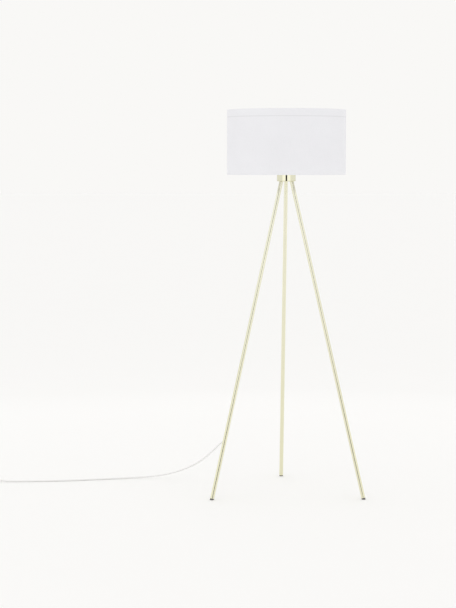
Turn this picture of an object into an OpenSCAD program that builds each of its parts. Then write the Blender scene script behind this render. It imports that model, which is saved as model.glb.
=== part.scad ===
// Tripod floor lamp: a drum shade on a short metal hub that stands on three straight tubular legs.
// The origin is on the lamp's axis at floor level, +Z is up and the rear leg points along +Y.

/* [Overall] */
// Height from the floor to the top edge of the shade
lamp_h = 1555; // [1250:5:1900]
// Radius of the circle on which the three legs meet the floor
foot_circle_r = 351; // [280:1:430]

/* [Shade] */
// Outside diameter of the drum shade
shade_d = 480; // [360:5:600]
// Height of the drum shade
shade_h = 260; // [210:5:320]
// Thickness of the outer fabric
fabric_t = 0.5; // [0.3:0.1:0.8]
// Thickness of the stiff lining sheet
liner_t = 0.5; // [0.3:0.1:0.8]
// Height by which the lining stops short of each edge
liner_margin = 2; // [1:0.5:3]
// Diameter of the wire rings in both edges
edge_wire_d = 4; // [3:0.5:5]
// Thickness of the fabric rolled round each wire ring
hem_t = 0.4; // [0.3:0.1:0.6]
// Width of the vertical overlap seam
seam_w = 14; // [8:1:20]
// Diameter of the three wire arms that carry the shade
arm_d = 4; // [3:0.5:5]
// Bore of the fitter ring in the middle of the shade
fitter_bore_d = 42; // [41:0.5:44]
// Outside diameter of the fitter ring
fitter_d = 64; // [62:1:70]
// Thickness of the fitter ring
fitter_t = 1.6; // [1:0.2:2.4]

/* [Hub] */
// Outside diameter of the hub
hub_d = 76; // [62:1:92]
// Height of the hub
hub_h = 72; // [60:1:90]
// Length of hub that shows below the shade
hub_drop = 27; // [15:1:40]
// Thickness of the solid base that the legs screw into
hub_base_t = 16; // [14:1:20]
// Thickness of the hub's side wall
hub_wall = 4.5; // [4:0.5:5.5]
// Rounding of the hub's bottom edge
hub_edge_r = 2; // [1:0.5:2.5]
// Thickness of the lid
lid_t = 4; // [3:0.5:5]

/* [Legs] */
// Outside diameter of the leg tubes
leg_d = 16; // [13:0.5:19.5]
// Wall thickness of the leg tubes
leg_wall = 1.2; // [1:0.1:1.5]
// Depth of the socket that holds the end of each leg
socket_depth = 7; // [5:0.5:8]
// Flat rim left on the hub's underside outside each leg
leg_rim = 5.7; // [4:0.1:7]
// Room round the cord in the threaded joining tubes
thread_room = 0.6; // [0.4:0.1:0.8]
// Wall thickness of the threaded joining tubes
thread_wall = 1.4; // [1.2:0.1:1.6]
// Height of the rubber feet under the leg tubes, along the leg
foot_h = 5.5; // [4.5:0.5:8]
// Step from the tubes' outside in to the rubber feet
foot_step = 0.4; // [0:0.1:1]

/* [Lampholder and bulb] */
// Height of the lampholder's bottom cap
holder_cap_h = 22; // [20:1:24]
// Height of the whole lampholder
holder_h = 60; // [56:1:64]
// Outside diameter of the lampholder's threaded barrel
barrel_d = 39; // [38:0.5:40]
// Bore of the lampholder that takes the bulb's cap
bulb_bore_d = 27.2; // [27:0.1:27.4]
// Height of the shade's fitter ring above the lampholder's foot
fitter_z = 36; // [34:1:40]
// Diameter of the bulb's screw cap
bulb_cap_d = 26.2; // [26:0.1:26.4]
// Diameter of the bulb's globe
globe_d = 60; // [45:1:80]
// Length of the bulb
bulb_l = 106; // [100:1:120]

/* [Cord, switch and plug] */
// Diameter of the mains cord
cord_d = 6; // [5:0.1:7.2]
// Wall thickness of the cord's grommet and sleeves at their necks
relief_wall = 1.4; // [1.2:0.1:1.6]
// Height of the cord's outlet in the leg
outlet_h = 231; // [225:1:240]
// Length of the foot switch
switch_l = 84; // [80:1:88]
// Width of the foot switch
switch_w = 48; // [46:1:56]
// Height of the foot switch's case
switch_h = 24; // [24:0.5:28]
// Travel of the foot switch's button
switch_travel = 3.5; // [2:0.5:4]
// Diameter of the foot switch's button
button_d = 30; // [26:1:32]
// Thickness of the plug
plug_t = 13.7; // [13:0.1:15]

/* [Fits] */
// Radial gap between threaded pieces and between a tube and its socket
fit_gap = 0.1; // [0.05:0.05:0.2]
// Gap between pieces that turn or slide against each other
move_gap = 0.2; // [0.1:0.05:0.3]

/* [Hidden] */
$fn = 64;
eps = 0.01;

// Which way each leg points, seen from above.
LEFT = 210;
RIGHT = 330;
REAR = 90;
LEGS = [LEFT, RIGHT, REAR];
// The shade's arms and the lid's screws stand between the legs.
BETWEEN = [30, 150, 270];

// Levels, from the shade down.
shade_bottom = lamp_h - shade_h;
hub_bottom = shade_bottom - hub_drop;
hub_top = hub_bottom + hub_h;
cavity_floor = hub_bottom + hub_base_t;
lid_bottom = hub_top - lid_t;
washer_t = 1;
holder_z = hub_top + washer_t;
fitter_bottom = holder_z + fitter_z;

// Shade: the lining lies inside the fabric, and the hems lie inside the lining.
shade_r = shade_d / 2;
liner_r = shade_r - fabric_t;
lining_inside_r = liner_r - liner_t;
hem_r = edge_wire_d / 2 + hem_t;
edge_wire_r = lining_inside_r - hem_r;

// Hub.
hub_r = hub_d / 2;
cavity_r = hub_r - hub_wall;
ledge = 2;
lid_r = cavity_r + ledge;
boss_r = 4.5;
boss_at = cavity_r - boss_r + 1.5;
lid_screw_d = 3;
lid_screw_l = 12;

switch_floor = 1.9;

// Threaded tubes that join the legs and the lampholder to the hub; the cord's wires pass through.
thread_bore_d = cord_d + 2 * thread_room;
thread_d = thread_bore_d + 2 * thread_wall;
relief_neck_r = cord_d / 2 + fit_gap + relief_wall;
relief_flange = 0.5;
// Height of the cord's axis where it enters the switch and the plug
inlet_z = switch_floor + fit_gap + relief_flange + relief_neck_r;

// Legs: each axis runs from the foot circle up to the hub's underside and leans inwards.
leg_r = leg_d / 2;
bore_r = leg_r - leg_wall;
leg_top_r = hub_r - leg_rim - leg_r;
lean = atan((foot_circle_r - leg_top_r) / hub_bottom);
leg_top = hub_bottom / cos(lean) + socket_depth;
bush_l = 24;
stud_in_bush = 16;
stud_in_hub = (hub_base_t / cos(lean)) - socket_depth;
stud_top = leg_top + stud_in_hub + 1;
cable_top = stud_top + 3;
foot_d = leg_d - 2 * foot_step;
foot_stem_l = 20;

// Lampholder levels, measured from its foot.
cap_foot_r = 12;
holder_wall = 2;
core_bottom = 13;
core_top = holder_cap_h + 2;
bulb_seat = core_top + 4;
barrel_r = barrel_d / 2;
flange_r = 20;
flange_t = 4;
core_r = flange_r - holder_wall - fit_gap;
ring_h = 7;
ring_flange_r = 28;
ring_collar_r = 24;
ring_flange_t = 2;
stem_above = 10;
stem_below = 9;
nut_t = 3.5;
nut_across_flats = thread_d + 4;

// Bulb.
bulb_cap_r = bulb_cap_d / 2;
bulb_cap_t = 0.4;
bulb_cap_top = 27;
insulator_h = 2.5;
tip_h = 1;
tip_r = 4.8;
glass_t = 1;
globe_r = globe_d / 2;

// Terminal block in the hub, on a short pillar that lifts it clear of the studs.
block = [20, 16, 15];
pillar_h = 5;
block_bottom = cavity_floor + pillar_h;
sleeve_at = 5;
sleeve_d = 4.4;
wire_d = 2;
// In a narrow hub the block stands back from the cable that comes up in the left leg.
block_y = 1.25 * max(0, block.y / 2 + 1.5 + on_leg(LEFT, cable_top).y);

// Cord outlet: a grommet with a tapered nose in the back of the left leg, square to the tube.
grommet_flange_t = 2;
grommet_nose_l = 22;
grommet_flange_r = relief_neck_r + 1.5;
outlet_s = outlet_h / cos(lean);
outlet_angle = atan2(cos(LEFT), sin(LEFT) * cos(lean));

// Hand-laid route of the cord, from the outlet back and down to the floor and away to the left.
cord_route = [
    [-258, -78, 219], [-264, -52, 210], [-274, -18, 195], [-290, 30, 171], [-306, 76, 148],
    [-324, 122, 124], [-345, 166, 100], [-370, 206, 78], [-398, 240, 58], [-430, 266, 41],
    [-466, 284, 27], [-505, 294, 17], [-550, 298, 10], [-600, 297, 6], [-655, 292, 4],
    [-710, 284, 3], [-770, 272, 3], [-830, 259, 3], [-895, 246, 3], [-960, 237, 3],
    [-1030, 231, 3], [-1100, 229, 3], [-1150, 229, 3], [-1178, 230, 5], [-1200, 230, inlet_z]
];
mid_route = [[-1328, 230, inlet_z], [-1345, 230, 5], [-1360, 230, 3], [-1374, 229, 3]];
end_route = [[-1418, 184, 16], [-1418, 172, 14], [-1418, 158, 10], [-1418, 144, inlet_z], [-1418, 138, inlet_z]];
// Straight ends of the cord inside the switch and the plug.
switch_in = [-1230, 230, inlet_z];
switch_out = [-1298, 230, inlet_z];
plug_in = [-1418, 96, inlet_z];
ring_step = 19;
cord_sides = 10;

// Cord's coil, switch and plug lie on the floor past the end of the laid route.
coil_at = [-1385, 196];
coil_mid_r = 33;
coil_turns = 2.25;
switch_at = [-1264, 230];
switch_wall = 2;
sleeve_l = 20;
switch_block_top = 12;
button_top = switch_h + 6;
button_wall = 2;
button_flange_t = 2.2;
button_flange = 2;
post_r = 2.5;
switch_screw_at = [27, 16];
switch_screw_d = 2.9;
plug_at = [-1418, 110];
plug_l = 37;
plug_w = 35;
pin_d = 4;
pin_l = 19;
pin_pitch = 18.6;
pin_root_d = 3.2;
pin_root_l = 12;
plug_sleeve_l = 28;

// Colours.
white_fabric = [0.95, 0.95, 0.95];
satin_brass = [0.82, 0.79, 0.66];
bright_brass = [0.93, 0.9, 0.74];
bare_brass = [0.8, 0.65, 0.35];
white_plastic = [0.93, 0.93, 0.92];
pale_grey = [0.85, 0.85, 0.84];
zinc = [0.75, 0.76, 0.78];
dark_rubber = [0.12, 0.11, 0.1];

// ---------- helpers ----------

function unit(v) = v / norm(v);
function last(v) = v[len(v) - 1];

// Points at distance s up a leg's axis, and the directions across that axis.
function outward(az) = [cos(az), sin(az), 0];
function up_leg(az) = [0, 0, cos(lean)] - outward(az) * sin(lean);
function on_leg(az, s) = outward(az) * foot_circle_r + up_leg(az) * s;
function leg_x(az) = outward(az) * cos(lean) + [0, 0, sin(lean)];
function leg_y(az) = [-sin(az), cos(az), 0];
function across_leg(az, angle) = leg_x(az) * cos(angle) + leg_y(az) * sin(angle);

// A smooth curve through a route's points, cut into steps no longer than the given one.
function bend(a, b, c, d, t) = 0.5 * (2 * b + (c - a) * t + (2 * a - 5 * b + 4 * c - d) * t * t
    + (3 * b - a - 3 * c + d) * t * t * t);
function smooth(p, step) = [
    for (i = [0 : len(p) - 2])
        let (before = i == 0 ? 2 * p[0] - p[1] : p[i - 1],
            after = i == len(p) - 2 ? 2 * p[i + 1] - p[i] : p[i + 2],
            n = max(1, ceil(norm(p[i + 1] - p[i]) / step)))
            for (k = [0 : n - 1]) bend(before, p[i], p[i + 1], after, k / n),
    last(p)
];

// Every other point where two follow closely, so that the rings stay a few diameters apart.
function spaced(p, gap, i = 1, kept = [0]) = i >= len(p) - 1
    ? concat([for (k = kept) p[k]], [last(p)])
    : spaced(p, gap, i + 1, norm(p[i] - p[last(kept)]) >= gap && norm(last(p) - p[i]) >= gap / 2
        ? concat(kept, [i]) : kept);

function headings(p) = [
    for (i = [0 : len(p) - 1]) unit(p[min(i + 1, len(p) - 1)] - p[max(i - 1, 0)])
];
function carried(t, n, i = 0) = let (m = unit(n - (n * t[i]) * t[i]))
    i == len(t) - 1 ? [m] : concat([m], carried(t, m, i + 1));

// A round tube of rings swept along a list of points, closed at both ends.
module swept(path, d, sides) {
    t = headings(path);
    n = carried(t, cross(t[0], abs(t[0].z) < 0.9 ? [0, 0, 1] : [1, 0, 0]));
    points = [
        for (i = [0 : len(path) - 1]) for (j = [0 : sides - 1])
            path[i] + d / 2 * (cos(360 * j / sides) * n[i] + sin(360 * j / sides) * cross(t[i], n[i]))
    ];
    end = (len(path) - 1) * sides;
    faces = concat(
        [[for (j = [0 : sides - 1]) j]],
        [
            for (i = [0 : len(path) - 2]) for (j = [0 : sides - 1]) let (k = (j + 1) % sides)
                [i * sides + j, (i + 1) * sides + j, (i + 1) * sides + k, i * sides + k]
        ],
        [[for (j = [sides - 1 : -1 : 0]) end + j]]
    );
    polyhedron(points, faces, convexity = 10);
}

module ring_of(outer, inner, h) {
    difference() {
        cylinder(r = outer, h = h);
        translate([0, 0, -1]) cylinder(r = inner, h = h + 2);
    }
}

// Places its children on a leg's axis, with +Z up the leg and the floor at zero.
module leg_place(az) {
    rotate([0, 0, az]) translate([foot_circle_r, 0, 0]) rotate([0, -lean, 0]) children();
}

// A cylinder between two points.
module rod(from, to, d) {
    v = to - from;
    translate(from) rotate([0, acos(v.z / norm(v)), atan2(v.y, v.x)]) cylinder(d = d, h = norm(v));
}

// ---------- shade ----------

module shade_fabric() {
    color(white_fabric) translate([0, 0, shade_bottom]) ring_of(shade_r, liner_r, shade_h, $fn = 128);
}

module shade_liner() {
    color("white") translate([0, 0, shade_bottom + liner_margin])
        ring_of(liner_r, lining_inside_r, shade_h - 2 * liner_margin, $fn = 128);
}

// The cut end of the fabric laps over its start in a straight strip at the back.
module shade_seam() {
    seam_angle = seam_w / shade_r * 180 / PI;
    color(white_fabric) translate([0, 0, shade_bottom])
        rotate([0, 0, REAR - seam_angle / 2])
            rotate_extrude(angle = seam_angle, $fn = 128)
                translate([shade_r, 0]) square([fabric_t, shade_h]);
}

module edge_wire(z) {
    translate([0, 0, z]) rotate_extrude($fn = 128)
        translate([edge_wire_r, 0]) circle(d = edge_wire_d, $fn = 24);
}

module edge_hem(angle) {
    rotate_extrude(angle = angle, $fn = 128) translate([edge_wire_r, 0]) difference() {
        circle(r = hem_r, $fn = 24);
        circle(d = edge_wire_d + 0.1, $fn = 24);
    }
}

bottom_wire_z = shade_bottom + hem_r;
top_wire_z = lamp_h - hem_r;

module shade_top_wire() { color(zinc) edge_wire(top_wire_z); }
module shade_bottom_wire() { color(zinc) edge_wire(bottom_wire_z); }
module shade_top_hem() { color(white_fabric) translate([0, 0, top_wire_z]) edge_hem(360); }

// The bottom hem is notched where each arm is welded to the wire ring.
module shade_bottom_hem() {
    notch = (arm_d + 4) / edge_wire_r * 180 / PI;
    color(white_fabric) for (az = BETWEEN)
        translate([0, 0, bottom_wire_z]) rotate([0, 0, az + notch / 2]) edge_hem(120 - notch);
}

// Each arm runs from the fitter ring's rim down to the bottom wire ring.
module shade_arm_rods(d, trim) {
    for (az = BETWEEN)
        rod(outward(az) * (fitter_d / 2 - 1.5) + [0, 0, fitter_bottom + fitter_t / 2],
            outward(az) * (edge_wire_r - trim) + [0, 0, bottom_wire_z], d);
}

module shade_arms() { color("white") shade_arm_rods(arm_d, edge_wire_d / 2 - 0.5); }

module shade_fitter() {
    color("white") translate([0, 0, fitter_bottom]) ring_of(fitter_d / 2, fitter_bore_d / 2, fitter_t);
}

// ---------- lampholder ----------

module holder_cap() {
    foot_t = 3;
    color(white_plastic) translate([0, 0, holder_z]) rotate_extrude() polygon([
        [thread_d / 2 + fit_gap, 0], [cap_foot_r, 0], [flange_r, core_bottom - 2], [flange_r, holder_cap_h],
        [core_r + fit_gap, holder_cap_h], [core_r + fit_gap, core_bottom], [core_r - 3, core_bottom],
        [cap_foot_r - holder_wall, foot_t], [thread_d / 2 + fit_gap, foot_t]
    ]);
}

terminal_at = 10.5;

// Insulating core that carries the contacts, trapped between the cap and the barrel.
module holder_core() {
    color("white") translate([0, 0, holder_z]) difference() {
        translate([0, 0, core_bottom]) cylinder(r = core_r, h = core_top - core_bottom);
        for (side = [-1, 1]) {
            translate([0, side * terminal_at, core_top - 8]) cylinder(d = 3, h = 9);
            translate([0, side * terminal_at, core_top - 2]) cylinder(d = 5, h = 3);
            translate([side * terminal_at, 0, core_bottom - 1]) cylinder(d = wire_d + 0.4, h = 7);
        }
    }
}

side_contact = [1, 6, 14];

module holder_barrel() {
    color(white_plastic) translate([0, 0, holder_z]) difference() {
        union() {
            translate([0, 0, holder_cap_h]) cylinder(r = flange_r, h = flange_t);
            translate([0, 0, holder_cap_h]) cylinder(r = barrel_r, h = holder_h - holder_cap_h);
        }
        translate([0, 0, holder_cap_h - 1]) cylinder(d = bulb_bore_d, h = holder_h);
        translate([0, 0, holder_cap_h - 1]) cylinder(r = core_r + fit_gap, h = core_top - holder_cap_h + 1);
        translate([bulb_cap_r + move_gap, -side_contact.y / 2 - 0.1, core_top - 1])
            cube([side_contact.x + fit_gap, side_contact.y + 0.2, side_contact.z + 1.2]);
    }
}

// Brass tongue that springs up against the tip of the bulb.
module holder_centre_contact() {
    strip = 5;
    t = 0.8;
    color(bare_brass) translate([0, 0, holder_z + core_top]) {
        translate([-7, -strip / 2, 0]) cube([6, strip, t]);
        translate([-1.8, -strip / 2, 0]) cube([t, strip, bulb_seat - core_top - move_gap]);
        translate([-1.8, -strip / 2, bulb_seat - core_top - move_gap - t]) cube([6, strip, t]);
    }
}

module holder_side_contact() {
    color(bare_brass) translate([bulb_cap_r + move_gap, -side_contact.y / 2, holder_z + core_top])
        cube(side_contact);
}

module screw(d, l, head_d, head_h) {
    slot = [head_d + 1, 0.7, head_h * 0.5];
    difference() {
        union() {
            translate([0, 0, -l]) cylinder(d = d, h = l);
            cylinder(d = head_d, h = head_h);
        }
        translate([-slot.x / 2, -slot.y / 2, head_h - slot.z]) cube([slot.x, slot.y, slot.z + 1]);
    }
}

module holder_terminal_screws() {
    color(bare_brass) for (side = [-1, 1])
        translate([0, side * terminal_at, holder_z + core_top - 2]) screw(2.8, 5.5, 4.6, 1.8);
}

// Threaded ring with a flange that bears on the fitter ring.
module shade_ring() {
    rotate_extrude() polygon([
        [barrel_r + fit_gap, 0], [ring_flange_r, 0], [ring_flange_r, ring_flange_t],
        [ring_collar_r, ring_flange_t], [ring_collar_r, ring_h], [barrel_r + fit_gap, ring_h]
    ]);
}

module shade_ring_lower() {
    color(white_plastic) translate([0, 0, fitter_bottom - fit_gap]) mirror([0, 0, 1]) shade_ring();
}

module shade_ring_upper() {
    color(white_plastic) translate([0, 0, fitter_bottom + fitter_t + fit_gap]) shade_ring();
}

// Hollow threaded stem through the lid; the wires run up through it.
module holder_stem() {
    color(zinc) translate([0, 0, lid_bottom - stem_below])
        ring_of(thread_d / 2, thread_bore_d / 2, stem_below + lid_t + washer_t + stem_above - 7);
}

module hex_nut(t) {
    difference() {
        cylinder(d = nut_across_flats / cos(30), h = t, $fn = 6);
        translate([0, 0, -1]) cylinder(r = thread_d / 2 + fit_gap, h = t + 2);
    }
}

module holder_stem_nut() { color(zinc) translate([0, 0, lid_bottom - nut_t]) hex_nut(nut_t); }

module holder_washer() {
    color(zinc) translate([0, 0, hub_top]) ring_of(9, thread_d / 2 + fit_gap, washer_t);
}

// ---------- bulb ----------

bulb_z = holder_z + bulb_seat;
neck_r = bulb_cap_r - bulb_cap_t - 0.1;
globe_z = bulb_l - globe_r;

// Outline of the glass: a straight neck inside the lampholder, then a cone that runs
// into the round globe at a tangent.
module glass_outline(inset) {
    r = globe_r - inset;
    n = neck_r - inset;
    neck_bottom = bulb_cap_top - 6;
    neck_top = holder_h - bulb_seat + 1;
    rise = globe_z - neck_top;
    touch = atan2(n, rise) + acos(r / norm([rise, n]));
    intersection() {
        union() {
            translate([0, globe_z]) circle(r = r, $fn = 96);
            polygon([
                [0, neck_bottom], [n, neck_bottom], [n, neck_top],
                [r * sin(touch), globe_z - r * cos(touch)], [0, globe_z]
            ]);
        }
        translate([0, neck_bottom]) square([globe_r + 1, bulb_l]);
    }
}

module bulb_glass() {
    color("white") translate([0, 0, bulb_z]) rotate_extrude() difference() {
        glass_outline(0);
        glass_outline(glass_t);
    }
}

module bulb_cap() {
    color(zinc) translate([0, 0, bulb_z + tip_h + insulator_h])
        ring_of(bulb_cap_r, bulb_cap_r - bulb_cap_t, bulb_cap_top - tip_h - insulator_h);
}

module bulb_insulator() {
    color("black") translate([0, 0, bulb_z + tip_h]) cylinder(r1 = 8, r2 = bulb_cap_r - 0.5, h = insulator_h);
}

module bulb_tip() { color(zinc) translate([0, 0, bulb_z]) cylinder(r = tip_r, h = tip_h); }

// ---------- hub ----------

// A cup with a thick base: the base has an inclined socket and a threaded hole for each leg.
module hub_housing() {
    pillar_r = 4;
    color(bright_brass) difference() {
        union() {
            difference() {
                translate([0, 0, hub_bottom]) rotate_extrude($fn = 128) {
                    translate([0, hub_edge_r]) square([hub_r, hub_h - hub_edge_r]);
                    square([hub_r - hub_edge_r, hub_h]);
                    translate([hub_r - hub_edge_r, hub_edge_r]) intersection() {
                        circle(r = hub_edge_r, $fn = 48);
                        translate([0, -hub_edge_r]) square(hub_edge_r);
                    }
                }
                translate([0, 0, cavity_floor]) cylinder(r = cavity_r, h = hub_h);
            }
            for (az = BETWEEN)
                translate(outward(az) * boss_at + [0, 0, cavity_floor - 1])
                    cylinder(r = boss_r, h = lid_bottom - cavity_floor + 1);
            translate([0, 0, cavity_floor - 1]) cylinder(r = pillar_r, h = pillar_h + 1);
        }
        translate([0, 0, lid_bottom]) cylinder(r = lid_r, h = lid_t + 1);
        for (az = BETWEEN)
            translate(outward(az) * boss_at + [0, 0, lid_bottom - lid_screw_l])
                cylinder(d = lid_screw_d, h = lid_screw_l + 1);
        for (az = LEGS) leg_place(az) {
            translate([0, 0, leg_top - 20]) cylinder(r = leg_r + fit_gap, h = 20);
            translate([0, 0, leg_top - 1]) cylinder(r = thread_d / 2 + fit_gap, h = 30);
        }
    }
}

module hub_lid() {
    color(bright_brass) translate([0, 0, lid_bottom]) difference() {
        cylinder(r = lid_r - fit_gap, h = lid_t);
        translate([0, 0, -1]) cylinder(r = thread_d / 2 + fit_gap, h = lid_t + 2);
        for (az = BETWEEN)
            translate(outward(az) * boss_at + [0, 0, -1]) cylinder(d = lid_screw_d + 0.4, h = lid_t + 2);
    }
}

module hub_lid_screws() {
    color(zinc) for (az = BETWEEN)
        translate(outward(az) * boss_at + [0, 0, hub_top])
            screw(lid_screw_d - 0.2, lid_t + lid_screw_l - 2, 5.6, 2);
}

// Two-way connector block: a brass sleeve per pole, clamped by a screw at each end.
module terminal_block() {
    color(white_plastic) translate([0, block_y, block_bottom]) difference() {
        translate([-block.x / 2, -block.y / 2, 0]) cube(block);
        for (side = [-1, 1]) {
            translate([side * sleeve_at, -block.y, 5]) rotate([-90, 0, 0])
                cylinder(d = sleeve_d + 0.1, h = 2 * block.y);
            for (end = [-1, 1])
                translate([side * sleeve_at, end * block.y / 4, 5]) cylinder(d = 3.6, h = block.z);
        }
    }
}

module terminal_sleeves() {
    color(bare_brass) for (side = [-1, 1])
        translate([side * sleeve_at, block_y, block_bottom + 5]) difference() {
            translate([0, -block.y / 2 + 1, 0]) rotate([-90, 0, 0]) cylinder(d = sleeve_d, h = block.y - 2);
            translate([0, -block.y, 0]) rotate([-90, 0, 0]) cylinder(d = wire_d + 0.4, h = 2 * block.y);
            for (end = [-1, 1])
                translate([0, end * block.y / 4, 0]) cylinder(d = 2.6, h = sleeve_d);
        }
}

module terminal_screws() {
    color(zinc) for (side = [-1, 1]) for (end = [-1, 1])
        translate([side * sleeve_at, block_y + end * block.y / 4, block_bottom + 11]) screw(2.4, 4.7, 3.2, 2);
}

// Two insulated wires from the end of the cable in the left leg to the near side of the block.
module mains_wires() {
    start = on_leg(LEFT, cable_top + 0.4);
    color(pale_grey) for (side = [-1, 1]) {
        from = start + leg_y(LEFT) * side * 1.6;
        into = [side * sleeve_at, block_y - block.y / 2 + 4, block_bottom + 5];
        turn = into - [1, 9 + 2 * (side + 1), side + 1];
        half_way = (from + turn) / 2 - [0, side + 1, side + 1];
        swept(smooth([
            from, from + up_leg(LEFT) * (2.1 - 0.9 * side), half_way, turn, into - [0, 6, 0], into - [0, 3, 0], into
        ], 2.5), wire_d, 8);
    }
}

// Two wires from the far side of the block up through the stem to the lampholder's core.
module holder_wires() {
    color(pale_grey) for (side = [-1, 1]) {
        from = [side * sleeve_at, block_y + block.y / 2 - 4, block_bottom + 5];
        in_stem = side * 1.4;
        up = lid_bottom - stem_below;
        swept(smooth([
            from, from + [0, 3, 0], from + [0, 6, 0], from + [-side, 9, 4], [side * 2.4, 6, up - 9],
            [in_stem, 1, up - 4], [in_stem, 0, up], [in_stem, 0, holder_z - 4], [in_stem, 0, holder_z + 3],
            [side * 2.6, 0, holder_z + 6], [side * 6, 0, holder_z + 8.5], [side * 9.6, 0, holder_z + 11],
            [side * terminal_at, 0, holder_z + core_bottom + 1], [side * terminal_at, 0, holder_z + core_bottom + 4]
        ], 4), wire_d, 8);
    }
}

// ---------- legs ----------

module leg_tube(az) {
    color(satin_brass) leg_place(az) translate([0, 0, foot_h])
        ring_of(leg_r, bore_r, leg_top - foot_h);
}

// The left leg carries the cable, and has a hole for the grommet in its back.
module leg_left() {
    color(satin_brass) difference() {
        leg_tube(LEFT);
        leg_place(LEFT) translate([0, 0, outlet_s]) rotate([0, 90, outlet_angle])
            cylinder(r = relief_neck_r, h = leg_d);
    }
}

module leg_right() { leg_tube(RIGHT); }
module leg_rear() { leg_tube(REAR); }

// Threaded bush pressed into the top of each tube.
module leg_bushes() {
    color(zinc) for (az = LEGS) leg_place(az) translate([0, 0, leg_top - bush_l])
        ring_of(bore_r - eps, thread_d / 2 + fit_gap, bush_l);
}

module leg_studs() {
    color(zinc) for (az = LEGS) leg_place(az) translate([0, 0, leg_top - stud_in_bush])
        ring_of(thread_d / 2, thread_bore_d / 2, stud_top - leg_top + stud_in_bush);
}

// Rubber foot: a stem inside the tube and a pad cut level with the floor.
module foot(az) {
    color(dark_rubber) intersection() {
        leg_place(az) union() {
            translate([0, 0, foot_h]) cylinder(r = bore_r - eps, h = foot_stem_l);
            translate([0, 0, -foot_d]) cylinder(d = foot_d, h = foot_h + foot_d);
        }
        translate([-500, -500, 0]) cube([1000, 1000, 100]);
    }
}

module foot_left() { foot(LEFT); }
module foot_right() { foot(RIGHT); }
module foot_rear() { foot(REAR); }

// ---------- cable and cord ----------

outlet_dir = across_leg(LEFT, outlet_angle);
outlet_mouth = on_leg(LEFT, outlet_s) + outlet_dir * (leg_r + grommet_flange_t + grommet_nose_l);

// The cable inside the left leg, from the outlet up to the hub.
module leg_cable() {
    up = up_leg(LEFT);
    elbow_r = 6.5;
    centre = on_leg(LEFT, outlet_s + elbow_r) + outlet_dir * (elbow_r - 2.5);
    bend_points = [for (a = [0 : 15 : 90]) centre - outlet_dir * elbow_r * sin(a) - up * elbow_r * cos(a)];
    color(pale_grey) swept(concat(
        [outlet_mouth],
        bend_points,
        [on_leg(LEFT, outlet_s + 60), on_leg(LEFT, cable_top)]
    ), cord_d, cord_sides);
}

module cord_grommet() {
    color(pale_grey) difference() {
        leg_place(LEFT) translate([0, 0, outlet_s]) rotate([0, 90, outlet_angle]) difference() {
            union() {
                translate([0, 0, bore_r]) cylinder(r = relief_neck_r - eps, h = leg_wall + 1);
                translate([0, 0, 3]) cylinder(r = grommet_flange_r, h = leg_r + grommet_flange_t - 3);
                translate([0, 0, leg_r + grommet_flange_t])
                    cylinder(r1 = relief_neck_r, r2 = cord_d / 2 + 0.8, h = grommet_nose_l);
            }
            cylinder(r = cord_d / 2 + fit_gap, h = leg_d + grommet_nose_l);
        }
        leg_place(LEFT) translate([0, 0, outlet_s - leg_d]) difference() {
            cylinder(r = leg_r + eps, h = 2 * leg_d);
            translate([0, 0, leg_d]) rotate([0, 90, outlet_angle]) cylinder(r = relief_neck_r - eps, h = leg_d);
        }
    }
}

// The cord along a laid route, with straight runs added before and after it.
module cord_run(before, route, after) {
    laid = spaced(smooth(route, ring_step / 3), ring_step * 0.9);
    color(pale_grey) swept(concat(before, laid, after), cord_d, cord_sides);
}

module cord_to_switch() {
    cord_run([outlet_mouth], concat([outlet_mouth + outlet_dir * 2 * cord_d], cord_route), [switch_in]);
}

module cord_to_coil() { cord_run([switch_out], mid_route, []); }
module cord_to_plug() { cord_run([], end_route, [plug_in]); }

// Outer shape of the cord's short stacked coil.
module cord_coil() {
    color(pale_grey) translate([coil_at.x, coil_at.y, cord_d / 2]) rotate_extrude() {
        translate([coil_mid_r, 0]) circle(d = cord_d, $fn = 24);
        translate([coil_mid_r - cord_d / 2, 0]) square([cord_d, coil_turns * cord_d]);
        translate([coil_mid_r, coil_turns * cord_d]) circle(d = cord_d, $fn = 24);
    }
}

// ---------- foot switch ----------

// A block with round ends, with a bevel of the given width round its top edge.
module capsule(l, w, h, bevel) {
    r = w / 2;
    run = l / 2 - r;
    side = h - bevel;
    for (x = [-run, run]) translate([x, 0, 0]) {
        cylinder(r = r, h = side);
        translate([0, 0, side]) cylinder(r1 = r, r2 = r - bevel, h = bevel);
    }
    translate([-run, 0, 0]) rotate([90, 0, 90]) linear_extrude(2 * run)
        polygon([[-r, 0], [r, 0], [r, side], [r - bevel, h], [bevel - r, h], [-r, side]]);
}

module sleeve_holes(r) {
    translate([-switch_l, 0, inlet_z]) rotate([0, 90, 0]) cylinder(r = r, h = 2 * switch_l);
}

module switch_place() { translate([switch_at.x, switch_at.y, 0]) children(); }

module switch_base() {
    color(pale_grey) switch_place() difference() {
        union() {
            difference() {
                capsule(switch_l, switch_w, inlet_z, 0);
                translate([0, 0, switch_floor])
                    capsule(switch_l - 2 * switch_wall, switch_w - 2 * switch_wall, inlet_z, 0);
            }
            for (side = [-1, 1]) translate([side * switch_screw_at.x, side * switch_screw_at.y, 0])
                cylinder(d = 7, h = inlet_z);
        }
        sleeve_holes(relief_neck_r);
        for (side = [-1, 1]) translate([side * switch_screw_at.x, side * switch_screw_at.y, -1]) {
            cylinder(d = switch_screw_d + 0.3, h = inlet_z + 2);
            cylinder(d = 5.6, h = 3.2);
        }
    }
}

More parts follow.
